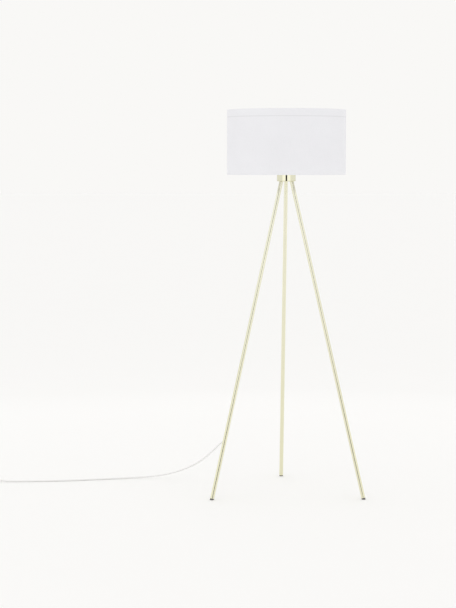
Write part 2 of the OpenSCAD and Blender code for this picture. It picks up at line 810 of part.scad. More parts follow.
module switch_cover() {
    cover_h = switch_h - inlet_z;
    color(pale_grey) switch_place() difference() {
        union() {
            translate([0, 0, inlet_z]) difference() {
                capsule(switch_l, switch_w, cover_h, 5);
                translate([0, 0, -1])
                    capsule(switch_l - 2 * switch_wall, switch_w - 2 * switch_wall, cover_h + 1 - switch_wall, 5);
            }
            for (side = [-1, 1]) translate([side * switch_screw_at.x, side * switch_screw_at.y, inlet_z])
                cylinder(d = 7, h = cover_h - switch_wall - 4);
        }
        sleeve_holes(relief_neck_r);
        cylinder(d = button_d + 2 * move_gap, h = switch_h + 1);
        for (side = [-1, 1]) translate([side * switch_screw_at.x, side * switch_screw_at.y, inlet_z - 1])
            cylinder(d = switch_screw_d, h = 9);
    }
}

// Round button with a flange under the cover and a post that works the contact block.
module switch_button() {
    flange_top = switch_h - switch_wall - move_gap;
    color("white") switch_place() difference() {
        union() {
            translate([0, 0, flange_top - button_flange_t]) cylinder(d = button_d, h = button_top - flange_top + 1.2);
            translate([0, 0, button_top - 1]) cylinder(d1 = button_d, d2 = button_d - 2, h = 1);
            translate([0, 0, flange_top - button_flange_t]) cylinder(d = button_d + 2 * button_flange, h = button_flange_t);
        }
        translate([0, 0, 5]) difference() {
            cylinder(d = button_d - 2 * button_wall, h = button_top - button_wall - 5);
            translate([0, 0, 5.5]) cylinder(r = post_r, h = switch_h);
        }
    }
    color("white") switch_place() translate([0, 0, 10.5]) cylinder(r = post_r, h = button_top - button_wall - 10.5 + eps);
}

spring_wire = 1.2;
spring_r = 6;
spring_turns = 4;

// Return spring between the contact block and the inside of the button.
module switch_spring() {
    bottom = switch_block_top + spring_wire / 2;
    top = button_top - button_wall - spring_wire / 2;
    color(zinc) switch_place() swept([
        for (a = [0 : 24 : 360 * spring_turns])
            [spring_r * cos(a), spring_r * sin(a), bottom + (top - bottom) * a / (360 * spring_turns)]
    ], spring_wire, 6);
}

module switch_block() {
    size = [26, 20, switch_block_top - switch_floor];
    color("white") switch_place() translate([0, 0, switch_floor]) difference() {
        translate([-size.x / 2, -size.y / 2, 0]) cube(size);
        translate([0, 0, 10.5 - switch_travel - 1 - switch_floor]) cylinder(r = post_r + move_gap, h = size.z);
    }
}

module switch_terminals() {
    size = [6, 7, 6];
    color(bare_brass) switch_place() for (x = [-1, 1]) for (y = [-1, 1])
        translate([x * 18 - size.x / 2, y * 6 - size.y / 2 + y * 1.5, switch_floor]) difference() {
            cube(size);
            translate([-1, size.y / 2, size.z / 2]) rotate([0, 90, 0]) cylinder(d = wire_d + 0.3, h = size.x + 2);
        }
}

module switch_screws() {
    color(zinc) switch_place() for (side = [-1, 1])
        translate([side * switch_screw_at.x, side * switch_screw_at.y, 2.2]) mirror([0, 0, 1])
            screw(switch_screw_d - 0.2, 11, 5.2, 1.8);
}

// Tapered rubber sleeve on the cord where it enters each end of the switch.
module bend_sleeve(l, neck_r) {
    bore = cord_d / 2 + fit_gap;
    neck = neck_r - fit_gap;
    // The wall is curved, so the flange inside it stands off a little further.
    inside = -switch_wall - 0.9;
    rotate_extrude() polygon([
        [bore, inside - 1.4], [neck_r + relief_flange, inside - 1.4], [neck_r + relief_flange, inside], [neck, inside],
        [neck, fit_gap], [neck_r + 1, fit_gap], [neck_r + 1, 2], [bore + 0.8, l], [bore, l]
    ]);
}

module switch_sleeves() {
    color(pale_grey) for (side = [-1, 1])
        translate([switch_at.x + side * switch_l / 2, switch_at.y, inlet_z]) rotate([0, side * 90, 0])
            bend_sleeve(sleeve_l, relief_neck_r);
}

// ---------- plug ----------

// Flat two-pin plug lying on the floor, with its pins pointing away from the cord.
module plug_body() {
    shoulder = 12;
    half = plug_w / 2;
    neck = relief_neck_r + 1.5;
    color("white") translate([plug_at.x, plug_at.y, 0]) difference() {
        linear_extrude(plug_t) polygon([
            [-neck, 0], [-half, -shoulder], [-half, 5 - plug_l], [5 - half, -plug_l],
            [half - 5, -plug_l], [half, 5 - plug_l], [half, -shoulder], [neck, 0]
        ]);
        translate([0, 1, inlet_z]) rotate([90, 0, 0]) cylinder(r = cord_d / 2 + fit_gap, h = 16);
        for (side = [-1, 1]) translate([side * pin_pitch / 2, -plug_l + pin_root_l, plug_t / 2])
            rotate([90, 0, 0]) cylinder(d = pin_root_d, h = pin_root_l + 1);
    }
}

module plug_pins() {
    color(zinc) translate([plug_at.x, plug_at.y, 0]) for (side = [-1, 1])
        translate([side * pin_pitch / 2, -plug_l, plug_t / 2]) rotate([90, 0, 0]) {
            translate([0, 0, -pin_root_l]) cylinder(d = pin_root_d - 2 * eps, h = pin_root_l);
            cylinder(d = pin_d, h = pin_l - 1);
            translate([0, 0, pin_l - 1]) cylinder(d1 = pin_d, d2 = pin_d - 1.5, h = 1);
        }
}

module plug_sleeve() {
    bore = cord_d / 2 + fit_gap;
    color("white") translate([plug_at.x, plug_at.y, inlet_z]) rotate([-90, 0, 0]) rotate_extrude()
        polygon([[bore, 0], [relief_neck_r + 1, 0], [bore + 0.8, plug_sleeve_l], [bore, plug_sleeve_l]]);
}

shade_fabric();
shade_liner();
shade_seam();
shade_top_wire();
shade_bottom_wire();
shade_top_hem();
shade_bottom_hem();
shade_arms();
shade_fitter();
holder_cap();
holder_core();
holder_barrel();
holder_centre_contact();
holder_side_contact();
holder_terminal_screws();
shade_ring_lower();
shade_ring_upper();
holder_stem();
holder_stem_nut();
holder_washer();
bulb_glass();
bulb_cap();
bulb_insulator();
bulb_tip();
hub_housing();
hub_lid();
hub_lid_screws();
terminal_block();
terminal_sleeves();
terminal_screws();
mains_wires();
holder_wires();
leg_left();
leg_right();
leg_rear();
leg_bushes();
leg_studs();
foot_left();
foot_right();
foot_rear();
leg_cable();
cord_grommet();
cord_to_switch();
cord_to_coil();
cord_coil();
cord_to_plug();
switch_base();
switch_cover();
switch_button();
switch_spring();
switch_block();
switch_terminals();
switch_screws();
switch_sleeves();
plug_body();
plug_pins();
plug_sleeve();
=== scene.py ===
import math

import bpy
import numpy as np
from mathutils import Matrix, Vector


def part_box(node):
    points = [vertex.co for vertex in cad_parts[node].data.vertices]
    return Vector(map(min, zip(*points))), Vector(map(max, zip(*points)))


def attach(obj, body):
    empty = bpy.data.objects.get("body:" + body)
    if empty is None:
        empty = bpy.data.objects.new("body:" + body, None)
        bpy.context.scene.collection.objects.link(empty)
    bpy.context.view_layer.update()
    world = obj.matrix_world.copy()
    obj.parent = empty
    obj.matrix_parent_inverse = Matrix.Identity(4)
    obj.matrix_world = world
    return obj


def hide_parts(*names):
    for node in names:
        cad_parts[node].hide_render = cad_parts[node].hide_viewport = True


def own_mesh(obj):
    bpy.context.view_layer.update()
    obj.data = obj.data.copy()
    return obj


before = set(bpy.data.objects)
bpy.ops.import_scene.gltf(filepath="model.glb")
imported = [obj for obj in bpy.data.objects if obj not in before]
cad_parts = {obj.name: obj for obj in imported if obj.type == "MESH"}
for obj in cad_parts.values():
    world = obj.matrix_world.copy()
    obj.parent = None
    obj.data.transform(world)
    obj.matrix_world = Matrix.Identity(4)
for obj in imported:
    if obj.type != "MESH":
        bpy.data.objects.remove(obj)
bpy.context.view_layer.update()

# ---------- Camera ----------
# A long lens nearly seven metres in front of the lamp, at the height of the hub. It points
# a little to one side of the lamp and a little down, so that the cord comes into view.
camera_data = bpy.data.cameras.new("camera")
camera_data.lens = 101.8
camera_data.sensor_width = 36
camera_data.clip_end = 80
camera = bpy.data.objects.new("camera", camera_data)
camera.location = (-0.373, -6.960, 1.336)
camera_down = 4.64
camera_right = 1.13
camera.rotation_euler = (math.radians(90 - camera_down), 0, -math.radians(camera_right))
bpy.context.scene.collection.objects.link(camera)
bpy.context.scene.camera = camera
bpy.context.scene.view_settings.view_transform = "Standard"

# ---------- Mains cord ----------
# Round two-core cord, 6 mm over its white PVC sheath. It leaves the back of the left leg, sags to
# the floor and runs to a foot switch, and the rest is wound in a short flat coil before the plug.


def smooth_route(points, spacing):
    """A Catmull-Rom curve through the points, then the same curve at even steps of its length."""
    p = np.asarray(points, float)
    p = np.vstack([2 * p[0] - p[1], p, 2 * p[-1] - p[-2]])
    a, b, c, d = (p[i : len(p) - 3 + i, None] for i in range(4))
    t = np.linspace(0, 1, 24, endpoint=False)[None, :, None]
    curve = 0.5 * (2 * b + (c - a) * t + (2 * a - 5 * b + 4 * c - d) * t**2
                   + (3 * b - a - 3 * c + d) * t**3)
    curve = np.vstack([curve.reshape(-1, 3), p[-2]])
    gone = np.append(0, np.cumsum(np.linalg.norm(np.diff(curve, axis=0), axis=1)))
    even = np.linspace(0, gone[-1], max(2, round(gone[-1] / spacing) + 1))
    return np.stack([np.interp(even, gone, curve[:, k]) for k in range(3)], axis=1)


def mesh_piece(name, points, faces, uv=None, smooth=True):
    """A mesh object at the origin from arrays of points and faces, with a UV pair per face corner."""
    mesh = bpy.data.meshes.new(name)
    mesh.from_pydata(np.asarray(points).tolist(), [], [list(map(int, f)) for f in faces])
    if uv is not None:
        layer = mesh.uv_layers.new(name="UVMap")
        layer.data.foreach_set("uv", np.asarray(uv, np.float32).ravel())
    mesh.polygons.foreach_set("use_smooth", [smooth] * len(mesh.polygons))
    mesh.update()
    piece = bpy.data.objects.new(name, mesh)
    bpy.context.scene.collection.objects.link(piece)
    return piece


def tube(name, path, radius, sides):
    """A circle of that radius carried along a path that never runs upright, its top kept upwards.
    U is metres round the tube and V metres along it. Both ends are closed."""
    heading = np.gradient(path, axis=0)
    heading /= np.linalg.norm(heading, axis=1, keepdims=True)
    across = np.cross(heading, [0, 0, 1])
    across /= np.linalg.norm(across, axis=1, keepdims=True)
    over = np.cross(across, heading)
    angle = np.linspace(0, 2 * np.pi, sides, endpoint=False)[:, None]
    rings = path[:, None] + radius * (np.cos(angle) * across[:, None] + np.sin(angle) * over[:, None])
    i, j = np.meshgrid(np.arange(len(path) - 1), np.arange(sides), indexing="ij")
    k = (j + 1) % sides
    quads = np.stack([i * sides + j, (i + 1) * sides + j, (i + 1) * sides + k, i * sides + k], -1)
    along = np.append(0, np.cumsum(np.linalg.norm(np.diff(path, axis=0), axis=1)))
    round_by = 2 * np.pi * radius / sides
    u = np.stack([j, j, j + 1, j + 1], -1) * round_by
    v = np.stack([along[i], along[i + 1], along[i + 1], along[i]], -1)
    last = (len(path) - 1) * sides
    faces = [*quads.reshape(-1, 4), np.arange(sides), last + np.arange(sides)[::-1]]
    uv = np.vstack([np.stack([u, v], -1).reshape(-1, 2), np.zeros((2 * sides, 2))])
    return mesh_piece(name, rings.reshape(-1, 3), faces, uv)


cord_d = 0.006
outlet_mouth = (-0.2533, -0.1140, 0.2271)
past_outlet = (-0.2536, -0.1021, 0.2256)
floor_route = [
    (-0.258, -0.078, 0.219), (-0.264, -0.052, 0.210), (-0.274, -0.018, 0.195), (-0.290, 0.030, 0.171),
    (-0.306, 0.076, 0.148), (-0.324, 0.122, 0.124), (-0.345, 0.166, 0.100), (-0.370, 0.206, 0.078),
    (-0.398, 0.240, 0.058), (-0.430, 0.266, 0.041), (-0.466, 0.284, 0.027), (-0.505, 0.294, 0.017),
    (-0.550, 0.298, 0.010), (-0.600, 0.297, 0.006), (-0.655, 0.292, 0.004), (-0.710, 0.284, 0.003),
    (-0.770, 0.272, 0.003), (-0.830, 0.259, 0.003), (-0.895, 0.246, 0.003), (-0.960, 0.237, 0.003),
    (-1.030, 0.231, 0.003), (-1.100, 0.229, 0.003), (-1.150, 0.229, 0.003), (-1.178, 0.230, 0.005),
    (-1.200, 0.230, 0.007), (-1.230, 0.230, 0.007),
]
# Inside the switch the cord passes beside the button's post.
past_switch = [
    (-1.2375, 0.2288, 0.007), (-1.2500, 0.2253, 0.007), (-1.2640, 0.2237, 0.007), (-1.2780, 0.2253, 0.007),
    (-1.2905, 0.2288, 0.007), (-1.298, 0.230, 0.007), (-1.328, 0.230, 0.007), (-1.345, 0.230, 0.005),
    (-1.360, 0.230, 0.003), (-1.374, 0.229, 0.003),
]
coil_centre = (-1.385, 0.196)
coil_r = 0.033
coil_turns = 2.25
coil_steps = 16
to_plug = [
    (-1.418, 0.184, 0.016), (-1.418, 0.172, 0.014), (-1.418, 0.158, 0.010), (-1.418, 0.144, 0.007),
    (-1.418, 0.138, 0.007), (-1.418, 0.096, 0.007),
]
wound = np.linspace(0, coil_turns, round(coil_turns * coil_steps) + 1)
coil_angle = np.pi / 2 + 2 * np.pi * wound
coil_route = np.stack([
    coil_centre[0] + coil_r * np.cos(coil_angle),
    coil_centre[1] + coil_r * np.sin(coil_angle),
    cord_d / 2 + cord_d * wound,
], axis=1)
ring_spacing = 0.003
cord_path = smooth_route(
    [outlet_mouth, past_outlet, *floor_route, *past_switch, *coil_route, *to_plug], ring_spacing)
cord_sides = 16
cord = tube("mains_cord", cord_path, cord_d / 2, cord_sides)


def put(tree, kind, **values):
    """A node of that kind. A lower-case name that the node has is a setting, _0 is the socket of that
    number, and any other name is a socket's. A value that is itself a socket is linked."""
    made = tree.nodes.new("ShaderNode" + kind)
    for name, value in values.items():
        if name.islower() and hasattr(made, name):
            setattr(made, name, value)
            continue
        number = name[1:]
        socket = made.inputs[int(number) if number.isdigit() else name.replace("_", " ")]
        if isinstance(value, bpy.types.NodeSocket):
            tree.links.new(value, socket)
        else:
            socket.default_value = value
    return made


def finish(name, metallic=0.0, **shader):
    """A new material with one Principled shader joined to its output; returns material, tree, shader."""
    made = bpy.data.materials.new(name)
    made.use_nodes = True
    tree = made.node_tree
    tree.nodes.clear()
    body = put(tree, "BsdfPrincipled", Metallic=metallic, **shader)
    tree.links.new(body.outputs[0], put(tree, "OutputMaterial").inputs[0])
    return made, tree, body


def effect(name, inputs, outputs):
    """An empty shader node group with named inputs and outputs, for an effect that finishes share."""
    group = bpy.data.node_groups.new(name, "ShaderNodeTree")
    for label, kind, value in inputs:
        socket = group.interface.new_socket(label, in_out="INPUT", socket_type="NodeSocket" + kind)
        if value is not None:
            socket.default_value = value
    for label, kind in outputs:
        group.interface.new_socket(label, in_out="OUTPUT", socket_type="NodeSocket" + kind)
    return group, group.nodes.new("NodeGroupInput"), group.nodes.new("NodeGroupOutput")


def make_moulded():
    """Moulded surface: two sizes of soft noise. Mottle drifts over centimetres, and Skin is the fine
    orange-peel of the mould in tenths of a millimetre."""
    group, taken, given = effect(
        "moulded_skin",
        [("Vector", "Vector", None), ("Mottle size", "Float", 40.0), ("Skin size", "Float", 2500.0)],
        [("Mottle", "Float"), ("Skin", "Float")])
    for size, out, detail in (("Mottle size", "Mottle", 3), ("Skin size", "Skin", 2)):
        noise = put(group, "TexNoise", Vector=taken.outputs["Vector"], Scale=taken.outputs[size],
                    Detail=detail)
        group.links.new(noise.outputs["Fac"], given.inputs[out])
    return group


moulded_skin = make_moulded()


def moulded(name, colour, shade, rough, grain=0.00002, mottle_size=40.0, skin_size=2500.0, **shader):
    """A moulded plastic, rubber or glazed finish: colour drifting to shade, with roughness a little
    either side of rough, and a fine moulded skin as high as grain."""
    rough_drift = 0.06
    made, tree, body = finish(name, **shader)
    where = put(tree, "TexCoord").outputs["Object"]
    skin = put(tree, "Group", node_tree=moulded_skin, Vector=where)
    skin.inputs["Mottle size"].default_value = mottle_size
    skin.inputs["Skin size"].default_value = skin_size
    tint = put(tree, "Mix", data_type="RGBA", _0=skin.outputs["Mottle"], _6=(*colour, 1), _7=(*shade, 1))
    gloss = put(tree, "MapRange", Value=skin.outputs["Mottle"], To_Min=rough - rough_drift,
               To_Max=rough + rough_drift)
    relief = put(tree, "Bump", Height=skin.outputs["Skin"], Distance=grain, Strength=1.0)
    tree.links.new(tint.outputs[2], body.inputs["Base Color"])
    tree.links.new(gloss.outputs[0], body.inputs["Roughness"])
    tree.links.new(relief.outputs[0], body.inputs["Normal"])
    return made


cord_white = moulded("white_cord_sheath", (0.82, 0.815, 0.80), (0.76, 0.755, 0.74), 0.42)
cord.data.materials.append(cord_white)
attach(cord, "stand")
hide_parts("cord_to_switch", "cord_to_coil", "cord_coil", "cord_to_plug")

# ---------- Floor and light ----------
# A pale floor that runs to the horizon, in a white room lit evenly and a little more from the lens's
# side. Shiny surfaces also reflect a round wall and a dark opening, which are seen in no other way.
floor_r = 400.0
floor_z = -0.0002
rim_steps = 96
rim = np.linspace(0, 2 * np.pi, rim_steps, endpoint=False)
floor = mesh_piece(
    "floor", np.stack([floor_r * np.cos(rim), floor_r * np.sin(rim), np.full(rim_steps, floor_z)], axis=1),
    [np.arange(rim_steps)], smooth=False)
floor_pale, floor_tree, floor_body = finish("pale_floor", Roughness=0.9)
floor_tone = put(floor_tree, "TexNoise", Vector=put(floor_tree, "TexCoord").outputs["Object"], Scale=2.0)
floor_mix = put(floor_tree, "Mix", data_type="RGBA", _0=floor_tone.outputs["Fac"],
                _6=(0.937, 0.929, 0.912, 1), _7=(0.931, 0.923, 0.906, 1))
floor_tree.links.new(floor_mix.outputs[2], floor_body.inputs["Base Color"])
floor.data.materials.append(floor_pale)

studio = bpy.data.worlds.new("studio")
bpy.context.scene.world = studio
studio.use_nodes = True
sky = studio.node_tree
sky.nodes.clear()
to_lens = np.array([camera.location.x, camera.location.y, 0.0])
to_lens /= np.linalg.norm(to_lens)
ray = put(sky, "TexCoord").outputs["Generated"]
towards = put(sky, "VectorMath", operation="DOT_PRODUCT", _0=ray, _1=tuple(to_lens))
ahead = put(sky, "MapRange", Value=towards.outputs["Value"], From_Min=-1, From_Max=1)
behind_lamp, by_lens = 0.92, 1.10
around = put(sky, "Mix", data_type="RGBA", _0=ahead.outputs[0], _6=(behind_lamp, behind_lamp, behind_lamp, 1),
             _7=(by_lens, by_lens, by_lens, 1))
bright = put(sky, "Background", Color=around.outputs[2], Strength=1.0)
plain = put(sky, "Background", Color=(0.947, 0.939, 0.922, 1), Strength=1.0)
seen = put(sky, "LightPath").outputs["Is Camera Ray"]
both = put(sky, "MixShader", _0=seen, _1=bright.outputs[0], _2=plain.outputs[0])
sky.links.new(both.outputs[0], put(sky, "OutputWorld").inputs[0])


def ramp(tree, factor, stops):
    """A colour ramp of grey levels, given as pairs of place and level in the order of their places."""
    made = put(tree, "ValToRGB", Fac=factor)
    stop = made.color_ramp.elements
    while len(stop) < len(stops):
        stop.new(0.5)
    for mark, (place, level) in zip(stop, stops):
        mark.position = place
        mark.color = (level, level, level, 1)
    return made.outputs["Color"]


def for_reflections(thing):
    """Stage set that shiny surfaces reflect, and that casts no shadow and is not seen directly."""
    thing.visible_camera = thing.visible_diffuse = thing.visible_shadow = False
    thing.visible_transmission = thing.visible_volume_scatter = False


# The wall is one plain tone, except level with the hub: there it goes by the degrees it stands off
# the way to the lens, bright in front, duller at the sides and dullest behind.
right_hand = (-float(to_lens[1]), float(to_lens[0]), 0.0)
wall_tone = [(-180, 0.62), (-150, 0.84), (-60, 0.85), (-52, 0.76), (-47, 1.12), (47, 1.12), (54, 0.88),
             (150, 0.84), (180, 0.62)]
plain_tone = 0.98
hub_level = 1.25
toned_half, plain_from = 0.22, 0.3
wall_r, wall_h = 3.3, 3.2
low_ring = np.stack([wall_r * np.cos(rim), wall_r * np.sin(rim), 0 * rim], axis=1)
step = np.arange(rim_steps)
next_step = (step + 1) % rim_steps
wall = mesh_piece("room_wall", np.vstack([low_ring, low_ring + (0, 0, wall_h)]),
                  np.stack([step, step + rim_steps, next_step + rim_steps, next_step], axis=1), smooth=False)
wall_light, wall_tree, wall_body = finish("room_wall", Base_Color=(0, 0, 0, 1), Roughness=1.0,
                                          Emission_Strength=1.0)
place = put(wall_tree, "TexCoord").outputs["Object"]
forward = put(wall_tree, "VectorMath", operation="DOT_PRODUCT", _0=place, _1=tuple(to_lens))
sideways = put(wall_tree, "VectorMath", operation="DOT_PRODUCT", _0=place, _1=right_hand)
swing = put(wall_tree, "Math", operation="ARCTAN2", _0=sideways.outputs["Value"], _1=forward.outputs["Value"])
turned = put(wall_tree, "MapRange", Value=swing.outputs[0], From_Min=-math.pi, From_Max=math.pi)
tone = ramp(wall_tree, turned.outputs[0], [(0.5 + angle / 360, level) for angle, level in wall_tone])
wall_up = put(wall_tree, "SeparateXYZ", _0=place).outputs["Z"]
over_hub = put(wall_tree, "Math", operation="SUBTRACT", _0=wall_up, _1=hub_level)
off_hub = put(wall_tree, "Math", operation="ABSOLUTE", _0=over_hub.outputs[0])
plain_wall = put(wall_tree, "MapRange", Value=off_hub.outputs[0], From_Min=toned_half, From_Max=plain_from)
wall_mix = put(wall_tree, "Mix", data_type="RGBA", _0=plain_wall.outputs[0], _6=tone,
               _7=(plain_tone, plain_tone, plain_tone, 1))
wall_tree.links.new(wall_mix.outputs[2], wall_body.inputs["Emission Color"])
wall.data.materials.append(wall_light)
for_reflections(wall)

# The opening stands just inside the wall, on the way to the lens. Each row is a height and half the
# opening's width there.
opening_at = 3.0
opening_right = 0.06
opening_half = np.array([[0.0, 0.70], [0.6, 0.60], [0.9, 0.47], [1.1, 0.50], [1.2, 0.53], [1.32, 0.50],
                         [1.45, 0.38], [1.8, 0.43], [wall_h, 0.46]])
low_to_high = opening_half[:, 0]
right_side = np.outer(opening_half[:, 1], right_hand)
outline = np.vstack([right_side, -right_side[::-1]])
outline += opening_at * to_lens + opening_right * np.array(right_hand)
outline[:, 2] = np.append(low_to_high, low_to_high[::-1])
opening = mesh_piece("dark_opening", outline, [np.arange(len(outline))], smooth=False)
opening_dark, _, _ = finish("dark_room", Roughness=0.9, Base_Color=(0.02, 0.019, 0.017, 1))
opening.data.materials.append(opening_dark)
for_reflections(opening)

# ---------- Legs ----------
# Three straight steel tubes, 16 mm across, polished along their length and plated in pale brass
# under clear lacquer. Each stands in a socket in the hub's base and is held there by a threaded tube.


def make_polish():
    """Polishing marks: noise drawn out along one axis, with a slow drift of tone over centimetres
    and a few dull fingermarks. Marks are the fine lines, Tone and Haze change slowly."""
    group, taken, given = effect(
        "polish_marks",
        [("Vector", "Vector", None), ("Stretch", "Vector", (1000.0, 1000.0, 10.0)),
         ("Tone size", "Float", 9.0)],
        [("Marks", "Float"), ("Tone", "Float"), ("Haze", "Float")])
    where = taken.outputs["Vector"]
    drawn = put(group, "VectorMath", operation="MULTIPLY", _0=where, _1=taken.outputs["Stretch"])
    marks = put(group, "TexNoise", Vector=drawn.outputs[0], Scale=1.0, Detail=3)
    tone = put(group, "TexNoise", Vector=where, Scale=taken.outputs["Tone size"], Detail=3)
    blots = put(group, "TexNoise", Vector=where, Scale=55.0, Detail=4, Distortion=0.6)
    haze = put(group, "MapRange", Value=blots.outputs["Fac"], From_Min=0.58, From_Max=0.75)
    group.links.new(marks.outputs["Fac"], given.inputs["Marks"])
    group.links.new(tone.outputs["Fac"], given.inputs["Tone"])
    group.links.new(haze.outputs[0], given.inputs["Haze"])
    return group


polish_marks = make_polish()


def polished(name, colour, shade, rough, stretch, lean=(0, 0, 0), relief=0.0000015, haze_rough=0.06,
             painted_shade_colour=None, painted_shade_from=1.1, painted_shade_to=0.2):
    """A polished metal: colour drifting to shade, marks drawn out along the leaning axis, dull blots.
    Between two heights it goes over to a darker colour, which is painted shade."""
    finer, coarser = 0.02, 0.03
    made, tree, body = finish(name, metallic=1.0)
    place = put(tree, "TexCoord").outputs["Object"]
    upright = put(tree, "Mapping", vector_type="TEXTURE", Vector=place, Rotation=lean)
    marks = put(tree, "Group", node_tree=polish_marks, Vector=upright.outputs[0])
    marks.inputs["Stretch"].default_value = stretch
    tint = put(tree, "Mix", data_type="RGBA", _0=marks.outputs["Tone"], _6=(*colour, 1), _7=(*shade, 1))
    fine = put(tree, "MapRange", Value=marks.outputs["Marks"], To_Min=rough - finer,
               To_Max=rough + coarser)
    dull = put(tree, "Math", operation="MULTIPLY_ADD", _0=marks.outputs["Haze"], _1=haze_rough,
               _2=fine.outputs[0])
    bump = put(tree, "Bump", Height=marks.outputs["Marks"], Distance=relief, Strength=1.0)
    # Painted shade: between the two heights the tint goes over to the darker colour.
    if painted_shade_colour:
        up = put(tree, "SeparateXYZ", _0=place).outputs["Z"]
        painted_shade = put(tree, "MapRange", Value=up, From_Min=painted_shade_from, From_Max=painted_shade_to)
        tint = put(tree, "Mix", data_type="RGBA", _0=painted_shade.outputs[0], _6=tint.outputs[2],
                   _7=(*painted_shade_colour, 1))
    tree.links.new(tint.outputs[2], body.inputs["Base Color"])
    tree.links.new(dull.outputs[0], body.inputs["Roughness"])
    tree.links.new(bump.outputs[0], body.inputs["Normal"])
    return made


def dress(finish_of, *names):
    """Gives the named nodes that finish."""
    for name in names:
        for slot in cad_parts[name].material_slots:
            slot.material = finish_of


leg_lean = math.radians(14.45)
for leg, bearing in (("leg_left", 210), ("leg_right", 330), ("leg_rear", 90)):
    outward = math.radians(bearing)
    tipped = (leg_lean * math.sin(outward), -leg_lean * math.cos(outward), 0)
    # Each leg goes over to a darker colour between 1.1 m and 0.2 m above the floor, a painted shade.
    dress(polished(leg + "_brass", (0.86, 0.845, 0.68), (0.84, 0.825, 0.655), 0.05, (900, 900, 8),
                   lean=tipped, painted_shade_colour=(0.82, 0.80, 0.59)), leg)

# ---------- Feet ----------
# A dark grey rubber plug in the end of each tube, cut level with the floor.
dress(moulded("foot_rubber", (0.105, 0.100, 0.094), (0.150, 0.144, 0.136), 0.72, grain=0.00004,
              mottle_size=120.0), "foot_left", "foot_right", "foot_rear")

# ---------- Joining tubes and cable ----------
# Zinc-plated threaded tubes and bushes hold the legs and the lampholder to the hub, and the cable
# from the outlet grommet runs up inside the left leg.
zinc = polished("zinc_plate", (0.66, 0.67, 0.69), (0.56, 0.57, 0.60), 0.28, (400, 400, 400), relief=0.000004)
dress(zinc, "leg_bushes", "leg_studs", "holder_stem", "holder_stem_nut", "holder_washer", "hub_lid_screws",
      "terminal_screws")
dress(cord_white, "leg_cable", "cord_grommet")

# ---------- Hub ----------
# A turned steel cup and its lid, polished bright and plated in the same pale brass as the legs. The
# cup's lower edge is painted darker, a painted shade.
hub_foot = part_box("hub_housing")[0][2]
# Heights above the cup's foot between which it goes over to the darker colour of painted shade.
hub_shade_from, hub_shade_to = 0.0045, 0.001
hub_brass = polished("hub_brass", (0.86, 0.84, 0.64), (0.84, 0.82, 0.615), 0.045, (14, 14, 1600),
                     painted_shade_colour=(0.70, 0.67, 0.48), painted_shade_from=hub_foot + hub_shade_from,
                     painted_shade_to=hub_foot + hub_shade_to)
dress(hub_brass, "hub_housing", "hub_lid")

# ---------- Terminal block and wires ----------
# A small nylon connector block with brass sleeves joins the cable to the lampholder's two wires.
nylon = moulded("white_nylon", (0.86, 0.86, 0.84), (0.82, 0.82, 0.80), 0.38)
contact_brass = polished("contact_brass", (0.82, 0.62, 0.32), (0.72, 0.52, 0.25), 0.24, (400, 400, 400))
dress(nylon, "terminal_block")
dress(contact_brass, "terminal_sleeves")
dress(cord_white, "mains_wires", "holder_wires")

# ---------- Lampholder ----------
# A white moulded E27 lampholder: cap and barrel in plastic round a glazed core, with brass contacts
# and two screwed rings that clamp the shade's fitter.
holder_white = moulded("holder_white", (0.87, 0.87, 0.86), (0.83, 0.83, 0.82), 0.30)
dress(holder_white, "holder_cap", "holder_barrel", "shade_ring_lower", "shade_ring_upper")
dress(moulded("glazed_core", (0.84, 0.82, 0.78), (0.80, 0.78, 0.74), 0.22), "holder_core")
dress(contact_brass, "holder_centre_contact", "holder_side_contact", "holder_terminal_screws")

# ---------- Bulb ----------
# A round opal glass bulb with a plated screw cap and tip, and a black glass insulator between them.
dress(moulded("opal_glass", (0.90, 0.90, 0.88), (0.87, 0.87, 0.85), 0.14, grain=0.000005), "bulb_glass")
dress(zinc, "bulb_cap", "bulb_tip")
dress(moulded("black_glass", (0.012, 0.012, 0.014), (0.03, 0.03, 0.032), 0.2), "bulb_insulator")

# ---------- Shade frame and lining ----------
# White lacquered steel: a ring of wire in each edge, a pressed fitter ring and three arms between
# them. The lining is a stiff white plastic sheet, slightly glossy, that the fabric is laid on.
white_lacquer = moulded("white_lacquer", (0.87, 0.87, 0.86), (0.84, 0.84, 0.83), 0.26, grain=0.00001)
dress(white_lacquer, "shade_arms", "shade_fitter", "shade_top_wire", "shade_bottom_wire")
lining_white = moulded("lining_sheet", (0.88, 0.88, 0.88), (0.85, 0.85, 0.855), 0.38, grain=0.000006,
                       mottle_size=14.0, skin_size=900.0)
dress(lining_white, "shade_liner")

# ---------- Shade cover ----------
# One strip of white cotton cloth round the lining, its ends lapped at the back. Both long edges are
# rolled round the wire rings and tucked in behind the lining, and the lower one is slit at each arm.
(_, _, bottom), (_, shade_r, top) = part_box("shade_fabric")
wire_low, wire_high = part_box("shade_bottom_wire")
wire_up = (wire_low[2] + wire_high[2]) / 2 - bottom
wire_r = wire_high[0] - (wire_high[2] - wire_low[2]) / 2
wire_roll = 0.0022
cloth_t = 0.00045
face_r = shade_r - cloth_t / 2
arm_at = np.radians([30, 150, 270])
# Angles round a wire are degrees from straight outward, going over its top to the inside.
tucked_to, slit_to, under_wire = 60, 245, 270
slit_half, slit_soft = 0.0045, 0.0004
roll_points, corner_points = 15, 8
pucker_high, puckers, pucker_drifts = 0.00008, 61, 5
corner_out = 0.0021
glued_band, band_up, band_soft = 0.00012, 0.0152, 0.0003
straight_up = np.array([0.0035, 0.006, 0.010, 0.0140, 0.0146, 0.0152, 0.0158, 0.0164, 0.020, 0.03, 0.05,
                        0.08, 0.105])
# Height of the crease above each wire, and half the width of the band of painted shade along it.
crease_up = 0.0045
crease_shade_half = 0.003
lap = 0.014
lap_angle = lap / shade_r
seam_at = np.pi / 2
start, end = seam_at - lap_angle / 2 - 2 * np.pi, seam_at + lap_angle / 2


def off_nearest_arm(angle):
    """The angle from each place round the shade to the nearest arm."""
    return np.abs((angle[:, None] - arm_at + np.pi) % (2 * np.pi) - np.pi).min(axis=1)


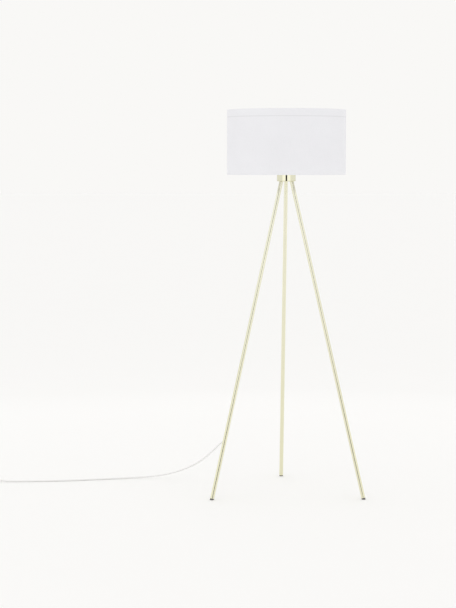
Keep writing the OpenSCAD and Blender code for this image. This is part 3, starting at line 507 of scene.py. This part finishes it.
def rolled_edge(angle, tucked):
    """One edge of the strip, from its cut end to half way up the shade. It follows an arc round the
    wire from the tucked angle to straight under it, a quarter circle out to the shade's face, and the
    straight face, which is a hair further in above the glued band. The arc puckers by a sine of the
    angle round the shade. Gives each point's radius and its height above the edge."""
    round_wire = np.linspace(0, 1, roll_points)
    rolled = tucked + (np.radians(under_wire) - tucked) * round_wire
    wave = np.sin(angle * puckers + 2 * np.sin(angle * pucker_drifts))[:, None]
    pucker = pucker_high * wave * np.sin(np.pi * round_wire)
    corner = np.radians(np.linspace(270, 360, corner_points))
    corner_r = face_r - wire_r - corner_out
    band = glued_band / (1 + np.exp((straight_up - band_up) / band_soft))
    all_round = np.zeros((len(angle), 1))
    out = np.hstack([
        wire_r + (wire_roll + pucker) * np.cos(rolled),
        face_r - corner_r + corner_r * np.cos(corner) + all_round,
        face_r - glued_band + band + all_round,
    ])
    above = np.hstack([
        wire_up + (wire_roll + pucker) * np.sin(rolled),
        wire_up - wire_roll + corner_r + corner_r * np.sin(corner) + all_round,
        straight_up + all_round,
    ])
    return out, above


# Columns stand closest at the slits and at the two cut ends, and their spacing eases out from there.
cover_columns = 560
at_start, at_end, at_slit = 8, 14, 10
narrow, wide = 0.03, 0.06
sweep = np.linspace(start, end, 40001)
crowd = 1 + at_start * np.exp(-((sweep - start) / narrow) ** 2)
crowd += at_end * np.exp(-((end - sweep) / wide) ** 2)
crowd += at_slit * np.exp(-(off_nearest_arm(sweep) / narrow) ** 2)
crowd = np.cumsum(crowd)
turn = np.interp(np.linspace(crowd[0], crowd[-1], cover_columns), crowd, sweep)

# The lower edge is slit at each arm, and ends under the wire there. The upper edge is whole.
slit = 1 / (1 + np.exp((off_nearest_arm(turn) * wire_r - slit_half) / slit_soft))
low_r, low_up = rolled_edge(turn, np.radians(tucked_to + (slit_to - tucked_to) * slit)[:, None])
high_r, high_up = rolled_edge(turn, np.radians(tucked_to))
cover_r = np.hstack([low_r, high_r[:, ::-1]])
cover_z = np.hstack([bottom + low_up, top - high_up[:, ::-1]])

# The last stretch of the strip steps out over the first, to lie on it with a little air between.
lap_lift, lap_from, lap_soft = 1.05, 1.25, 0.0008
over_lap = cloth_t * lap_lift / (1 + np.exp(-(turn - (end - lap_from * lap_angle)) * shade_r / lap_soft))
cover_r += over_lap[:, None]
run_r, run_z = np.gradient(cover_r, axis=1), np.gradient(cover_z, axis=1)
run = np.hypot(run_r, run_z)
normal_r, normal_z = run_z / run, -run_r / run
step_up = np.hypot(np.diff(cover_r, axis=1), np.diff(cover_z, axis=1))
profile_at = np.hstack([np.zeros((len(turn), 1)), np.cumsum(step_up, axis=1)])
half_up = np.argmin(np.abs(cover_z[0] - (bottom + top) / 2))
profile_at -= profile_at[:, half_up : half_up + 1]


def skin_points(side):
    """The strip's face, half its thickness out from the mid line: 1 is the outside, -1 the inside."""
    r, z = cover_r + side * cloth_t / 2 * normal_r, cover_z + side * cloth_t / 2 * normal_z
    return np.stack([r * np.cos(turn)[:, None], r * np.sin(turn)[:, None], z], axis=-1)


columns, rows = cover_r.shape
outside, inside = skin_points(1).reshape(-1, 3), skin_points(-1).reshape(-1, 3)
count = columns * rows
i, j = (g.ravel() for g in np.meshgrid(np.arange(columns - 1), np.arange(rows - 1), indexing="ij"))
a, b, c, d = i * rows + j, (i + 1) * rows + j, (i + 1) * rows + j + 1, i * rows + j + 1
low_edge = np.arange(columns - 1) * rows
high_edge = low_edge + rows - 1
first_end = np.arange(rows - 1)
last_end = (columns - 1) * rows + first_end
faces = np.vstack([
    np.stack([a, b, c, d], 1),
    count + np.stack([a, d, c, b], 1),
    np.stack([low_edge, count + low_edge, count + low_edge + rows, low_edge + rows], 1),
    np.stack([high_edge, high_edge + rows, count + high_edge + rows, count + high_edge], 1),
    np.stack([first_end, first_end + 1, count + first_end + 1, count + first_end], 1),
    np.stack([last_end, count + last_end, count + last_end + 1, last_end + 1], 1),
])
laid_at = np.tile(np.stack([np.repeat(turn * shade_r, rows), profile_at.ravel()], 1), (2, 1))
cover = mesh_piece("shade_cover", np.vstack([outside, inside]), faces, laid_at[faces.ravel()])


def make_weave():
    """Plain weave. Across each thread the height is the size of a sine, and warp and weft pass over
    each other in a chequer. The threads wander by a few threads' width over centimetres. Slubs are
    threads that run a little thick, and Tone is their shade."""
    drift_size, wander, slub_height = 0.035, 9, 0.6
    across, along = 0.9, 0.012
    group, taken, given = effect(
        "plain_weave", [("Vector", "Vector", None), ("Threads per metre", "Float", 1800.0)],
        [("Height", "Float"), ("Tone", "Float")])
    even = put(group, "VectorMath", operation="SCALE", _0=taken.outputs["Vector"],
               Scale=taken.outputs["Threads per metre"])
    drift = put(group, "TexNoise", Vector=even.outputs[0], Scale=drift_size, Detail=3)
    threads = put(group, "VectorMath", operation="MULTIPLY_ADD", _0=drift.outputs["Color"],
                  _1=(wander, wander, 0), _2=even.outputs[0])
    split = put(group, "SeparateXYZ", _0=threads.outputs[0])

    def sum_of(kind, first, second=0.0, third=0.0):
        return put(group, "Math", operation=kind, _0=first, _1=second, _2=third).outputs[0]

    waves = [sum_of("SINE", sum_of("MULTIPLY", split.outputs[axis], math.pi)) for axis in "XY"]
    chequer = sum_of("MULTIPLY", *waves)
    warp = sum_of("MULTIPLY", sum_of("ABSOLUTE", waves[0]), sum_of("MULTIPLY_ADD", chequer, 0.5, 0.5))
    weft = sum_of("MULTIPLY", sum_of("ABSOLUTE", waves[1]), sum_of("MULTIPLY_ADD", chequer, -0.5, 0.5))
    shades = []
    for stretch in ((across, along, 1), (along, across, 1)):
        drawn = put(group, "VectorMath", operation="MULTIPLY", _0=threads.outputs[0], _1=stretch)
        shades.append(put(group, "TexNoise", Vector=drawn.outputs[0], Scale=1.0, Detail=2).outputs["Fac"])
    slubs = sum_of("MULTIPLY_ADD", sum_of("ADD", *shades), 0.5, 0.0)
    height = sum_of("MULTIPLY_ADD", slubs, slub_height, sum_of("MAXIMUM", warp, weft))
    group.links.new(height, given.inputs["Height"])
    group.links.new(slubs, given.inputs["Tone"])
    return group


def cotton():
    """White cotton: woven threads a little over half a millimetre apart, uneven in tone and thickness,
    with painted shade in the gaps between threads and along the crease above each wire."""
    made, tree, body = finish("white_cotton", Roughness=0.9, Sheen_Weight=0.06, Sheen_Roughness=0.5)
    laid = put(tree, "TexCoord").outputs["UV"]
    weave = put(tree, "Group", node_tree=make_weave(), Vector=laid)
    thread = put(tree, "Mix", data_type="RGBA", _0=weave.outputs["Tone"],
                 _6=(0.812, 0.811, 0.837, 1), _7=(0.876, 0.875, 0.903, 1))
    # Painted shade: the gaps between the threads are coloured darker.
    gap_shade = put(tree, "MapRange", interpolation_type="SMOOTHSTEP", Value=weave.outputs["Height"],
              From_Min=0.55, From_Max=0.25)
    tint = put(tree, "Mix", data_type="RGBA", _0=gap_shade.outputs[0], _6=thread.outputs[2],
               _7=(0.745, 0.745, 0.774, 1))
    up = put(tree, "SeparateXYZ", _0=laid).outputs["Y"]
    from_middle = put(tree, "Math", operation="ABSOLUTE", _0=up)
    from_crease = put(tree, "Math", operation="SUBTRACT", _0=from_middle.outputs[0],
                      _1=(top - bottom) / 2 - crease_up)
    off_crease = put(tree, "Math", operation="ABSOLUTE", _0=from_crease.outputs[0])
    crease_shade = put(tree, "MapRange", interpolation_type="SMOOTHSTEP", Value=off_crease.outputs[0],
                 From_Min=crease_shade_half, From_Max=crease_shade_half / 4)
    # Painted shade: a greyer band along the crease above each wire.
    crease_shaded = put(tree, "Mix", data_type="RGBA", _0=crease_shade.outputs[0], _6=tint.outputs[2],
                 _7=(0.775, 0.774, 0.797, 1))
    mottle = put(tree, "Group", node_tree=moulded_skin, Vector=put(tree, "TexCoord").outputs["Object"])
    mottle.inputs["Mottle size"].default_value = 6.0
    cloud = put(tree, "MapRange", Value=mottle.outputs["Mottle"], To_Min=0.97, To_Max=1.03)
    clouded = put(tree, "Mix", data_type="RGBA", blend_type="MULTIPLY", _0=1.0, _6=crease_shaded.outputs[2],
                  _7=cloud.outputs[0])
    relief = put(tree, "Bump", Height=weave.outputs["Height"], Distance=0.00015, Strength=1.0)
    tree.links.new(clouded.outputs[2], body.inputs["Base Color"])
    tree.links.new(relief.outputs[0], body.inputs["Normal"])
    return made


cover.data.materials.append(cotton())
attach(cover, "shade")
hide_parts("shade_fabric", "shade_seam", "shade_top_hem", "shade_bottom_hem")

# ---------- Foot switch ----------
# An inline foot switch in light grey plastic: base and cover screwed together, a round button over
# a spring and a contact block, and a tapered sleeve at each end.
switch_grey = moulded("switch_plastic", (0.80, 0.80, 0.79), (0.76, 0.76, 0.75), 0.40, grain=0.00005)
dress(switch_grey, "switch_base", "switch_cover", "switch_sleeves")
dress(moulded("button_white", (0.86, 0.86, 0.85), (0.83, 0.83, 0.82), 0.32), "switch_button")
dress(nylon, "switch_block")
dress(contact_brass, "switch_terminals")
dress(zinc, "switch_screws")

# The return spring is a helix of 1.2 mm zinc-plated wire between the contact block and the inside of
# the button. On the switch it closes up as the button goes down; here it is drawn at rest.
spring_low, spring_high = (np.array(corner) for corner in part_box("switch_spring"))
spring_wire = 0.0012
spring_turns = 4
spring_steps = 32
spring_mid = (spring_low + spring_high) / 2
coil_out = (spring_high[0] - spring_low[0]) / 2 - spring_wire / 2
spring_at = np.linspace(0, 1, spring_turns * spring_steps + 1)
spring_angle = 2 * np.pi * spring_turns * spring_at
spring_path = np.stack([
    spring_mid[0] + coil_out * np.cos(spring_angle),
    spring_mid[1] + coil_out * np.sin(spring_angle),
    spring_low[2] + spring_wire / 2 + (spring_high[2] - spring_low[2] - spring_wire) * spring_at,
], axis=1)
spring_sides = 10
spring = tube("return_spring", spring_path, spring_wire / 2, spring_sides)
spring.data.materials.append(zinc)
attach(spring, "stand")
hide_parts("switch_spring")
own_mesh(spring)

# ---------- Plug ----------
# A flat two-pin plug moulded on the end of the cord, with half-sleeved plated pins.
dress(moulded("plug_plastic", (0.85, 0.85, 0.84), (0.81, 0.81, 0.80), 0.36, grain=0.00004),
      "plug_body", "plug_sleeve")
dress(zinc, "plug_pins")
